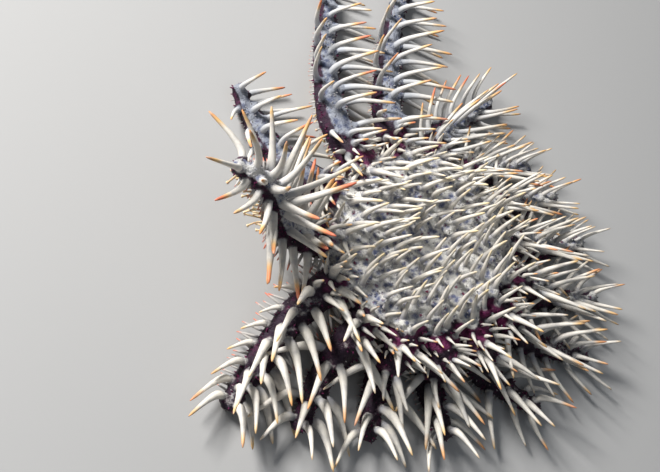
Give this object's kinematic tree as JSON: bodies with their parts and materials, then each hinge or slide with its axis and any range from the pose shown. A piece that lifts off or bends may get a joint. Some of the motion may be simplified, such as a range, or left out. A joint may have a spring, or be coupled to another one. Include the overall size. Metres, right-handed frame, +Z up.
{
  "type": "crown of thorns starfish",
  "caption": "Life-size crown of thorns starfish: a raised spiny disc with long spiny arms draped to the floor all round, one arm lifted.",
  "frame": {"origin": "middle of the bounding box at floor level", "axes": "+Z is up from the floor; the two longest outstretched arms reach towards -X and +Y, and the lifted arm towards -X and -Y"},
  "size_m": [0.4084, 0.4202, 0.1355],
  "materials": {
    "disc_skin": "rough, granular pale grey skin over chalky plates, with cream spines",
    "arm_skin": "rough maroon skin with pale blue-grey ridges, cream spines with orange tips",
    "mouth_skin": "soft, moist, fleshy skin"
  },
  "bodies": {
    "root": {"disc": "disc_skin", "mouth": "mouth_skin", "arm_01_inner": "arm_skin", "arm_01_outer": "arm_skin", "arm_02_inner": "arm_skin", "arm_02_outer": "arm_skin", "arm_03_inner": "arm_skin", "arm_03_outer": "arm_skin", "arm_04_inner": "arm_skin", "arm_04_outer": "arm_skin", "arm_05_inner": "arm_skin", "arm_05_outer": "arm_skin", "arm_06_inner": "arm_skin", "arm_06_outer": "arm_skin", "arm_07_inner": "arm_skin", "arm_07_outer": "arm_skin", "arm_08_inner": "arm_skin", "arm_08_outer": "arm_skin", "arm_09_inner": "arm_skin", "arm_09_outer": "arm_skin", "arm_10_inner": "arm_skin", "arm_10_outer": "arm_skin", "arm_11_inner": "arm_skin", "arm_11_outer": "arm_skin", "arm_12_inner": "arm_skin", "arm_12_outer": "arm_skin", "arm_13_inner": "arm_skin", "arm_13_outer": "arm_skin", "arm_14_inner": "arm_skin", "arm_14_outer": "arm_skin", "arm_15_inner": "arm_skin", "arm_15_outer": "arm_skin"}
  },
  "joints": []
}
